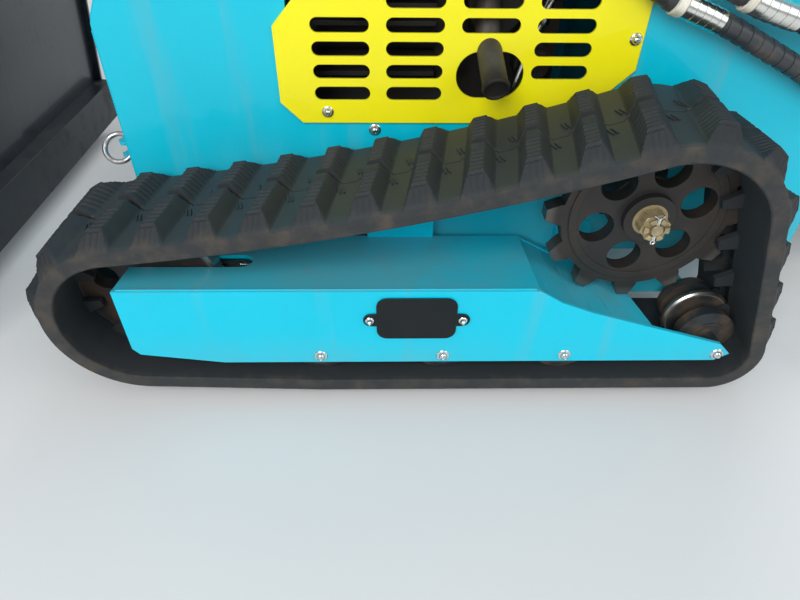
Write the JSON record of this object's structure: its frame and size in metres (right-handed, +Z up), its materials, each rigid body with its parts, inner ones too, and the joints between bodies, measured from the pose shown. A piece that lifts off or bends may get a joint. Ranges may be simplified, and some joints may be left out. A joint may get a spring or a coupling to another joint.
{
  "type": "stand-on mini compact track loader",
  "caption": "Stand-on mini track loader on rubber tracks, with lift arms, tilting bucket, hinged hood and folding operator platform.",
  "frame": {"origin": "on the ground under the middle of the machine's overall box, midway between the tracks", "axes": "+X forward to the bucket, +Y to the machine's left, +Z up"},
  "size_m": [2.228, 1.04, 1.206],
  "materials": {
    "dark_casting": "as cast",
    "black_paint": "satin",
    "zinc_plate": "zinc plated",
    "black_plastic": "matt",
    "exhaust_steel": "dull",
    "lamp_lens": "clear",
    "teal_paint": "gloss",
    "hose_rubber": "matt",
    "hard_chrome": "polished",
    "pad_vinyl": "vinyl cover over foam",
    "track_rubber": "dusty",
    "yellow_paint": "gloss"
  },
  "bodies": {
    "chassis": {"bottom_rollers_left": "dark_casting", "bottom_rollers_right": "dark_casting", "console": "black_paint", "control_levers": "black_plastic", "drive_motor_left": "black_paint", "drive_motor_right": "black_paint", "drive_sprocket_left": "dark_casting", "drive_sprocket_right": "dark_casting", "engine_block": "dark_casting", "exhaust_pipe": "exhaust_steel", "front_idler_left": "dark_casting", "front_idler_right": "dark_casting", "handrail": "black_paint", "headlamps": "lamp_lens", "hose_unions": "zinc_plate", "hull_floor": "teal_paint", "hull_front": "teal_paint", "hull_side_left": "teal_paint", "hull_side_right": "teal_paint", "hydraulic_hoses": "hose_rubber", "pivot_pins": "zinc_plate", "platform_bracket": "black_paint", "rear_bulkhead": "teal_paint", "tensioner_left": "zinc_plate", "tensioner_right": "zinc_plate", "thigh_pad": "pad_vinyl", "tie_down_rings": "zinc_plate", "track_frame_left": "teal_paint", "track_frame_right": "teal_paint", "track_left": "track_rubber", "track_right": "track_rubber", "vent_cover_left": "yellow_paint", "vent_cover_right": "yellow_paint"},
    "arms": {"loader_arms": "teal_paint"},
    "tool": {"bucket": "black_paint", "bucket_edge": "zinc_plate", "quick_attach": "black_paint"},
    "hood": {"hood": "teal_paint"},
    "platform": {"platform": "black_paint"},
    "lift_barrel_left": {"lift_cylinder_left": "black_paint"},
    "lift_barrel_right": {"lift_cylinder_right": "black_paint"},
    "lift_rod_left_body": {"lift_rod_left": "hard_chrome"},
    "lift_rod_right_body": {"lift_rod_right": "hard_chrome"},
    "tilt_barrel": {"tilt_cylinder": "black_paint"},
    "tilt_rod_body": {"tilt_rod": "hard_chrome"}
  },
  "joints": [
    {"name": "lift", "type": "hinge", "parent": "chassis", "child": "arms", "pos_m": [-0.62201, 0, 0.95], "axis": [0, -1, 0], "range_deg": [-16, 60]},
    {"name": "tilt", "type": "hinge", "parent": "arms", "child": "tool", "pos_m": [0.8214, 0, 0.57513], "axis": [0, -1, 0], "range_deg": [-16, 112]},
    {"name": "hood_hinge", "type": "hinge", "parent": "chassis", "child": "hood", "pos_m": [-0.47001, 0, 0.864], "axis": [0, -1, 0], "range_deg": [0, 60]},
    {"name": "platform_hinge", "type": "hinge", "parent": "chassis", "child": "platform", "pos_m": [-0.78401, 0, 0.215], "axis": [0, 1, 0], "range_deg": [0, 85]},
    {"name": "lift_barrel_left_swing", "type": "hinge", "parent": "chassis", "child": "lift_barrel_left", "pos_m": [-0.56201, 0.353, 0.76], "axis": [0, -1, 0], "range_deg": [-16.19, 59.33]},
    {"name": "lift_rod_left_slide", "type": "slide", "parent": "lift_barrel_left", "child": "lift_rod_left_body", "axis": [1, 0, 0.0046], "range_m": [-0.05199, 0.19222]},
    {"name": "lift_barrel_right_swing", "type": "hinge", "parent": "chassis", "child": "lift_barrel_right", "pos_m": [-0.56201, -0.353, 0.76], "axis": [0, -1, 0], "range_deg": [-16.19, 59.33]},
    {"name": "lift_rod_right_slide", "type": "slide", "parent": "lift_barrel_right", "child": "lift_rod_right_body", "axis": [1, 0, 0.0046], "range_m": [-0.05199, 0.19222]},
    {"name": "tilt_barrel_swing", "type": "hinge", "parent": "arms", "child": "tilt_barrel", "pos_m": [0.45299, 0, 0.825], "axis": [0, -1, 0], "range_deg": [-1.18, 5.26]},
    {"name": "tilt_rod_slide", "type": "slide", "parent": "tilt_barrel", "child": "tilt_rod_body", "axis": [0.8997, 0, -0.4364], "range_m": [-0.18827, 0.02775]}
  ],
  "couplings": [
    {"joint": "lift_barrel_left_swing", "follows": "lift", "ratio": 0.9805},
    {"joint": "lift_rod_left_slide", "follows": "lift", "m_per_rad": 0.1826},
    {"joint": "lift_barrel_right_swing", "follows": "lift", "ratio": 0.9805},
    {"joint": "lift_rod_right_slide", "follows": "lift", "m_per_rad": 0.1826},
    {"joint": "tilt_barrel_swing", "follows": "tilt", "ratio": 0.0425},
    {"joint": "tilt_rod_slide", "follows": "tilt", "m_per_rad": -0.0958}
  ]
}
